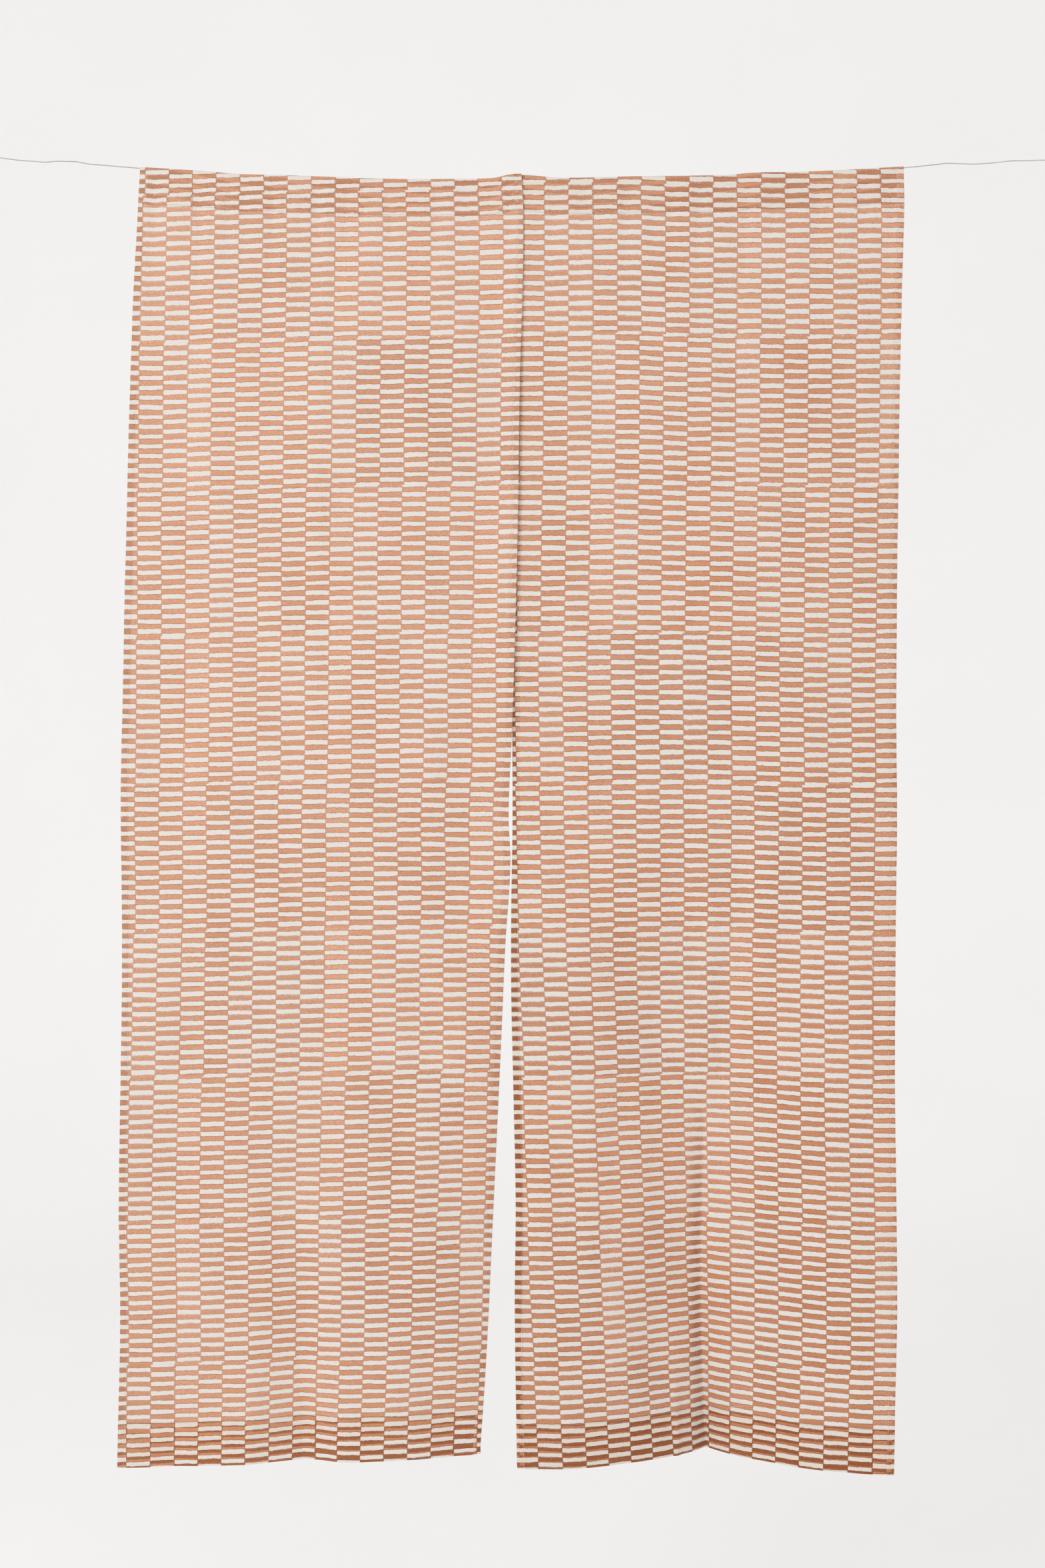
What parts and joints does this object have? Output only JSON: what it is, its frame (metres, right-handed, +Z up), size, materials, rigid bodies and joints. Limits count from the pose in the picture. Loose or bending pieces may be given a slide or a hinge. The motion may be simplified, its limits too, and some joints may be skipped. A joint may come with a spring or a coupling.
{
  "type": "door curtain on a hanging wire",
  "caption": "Split door curtain of thin block-printed cotton, hung by its rod pocket from a taut steel wire that ends in wall eyes.",
  "frame": {"origin": "middle of the hanging line, half way between the two wall plates", "axes": "+X to the right seen from the front, +Y towards the back of the curtain, +Z up"},
  "size_m": [1.78, 0.1039, 2.0683],
  "materials": {
    "printed_cotton_left": "thin plain-weave cotton, block printed with staggered terracotta dashes on cream",
    "printed_cotton_right": "thin plain-weave cotton, block printed with staggered terracotta dashes on cream",
    "steel_wire": "dull grey drawn steel wire",
    "zinc_plated_steel": "zinc-plated steel, satin"
  },
  "bodies": {
    "root": {"left_panel": "printed_cotton_left", "right_panel": "printed_cotton_right", "hanging_wire": "steel_wire", "left_wall_eye": "zinc_plated_steel", "right_wall_eye": "zinc_plated_steel"}
  },
  "joints": []
}
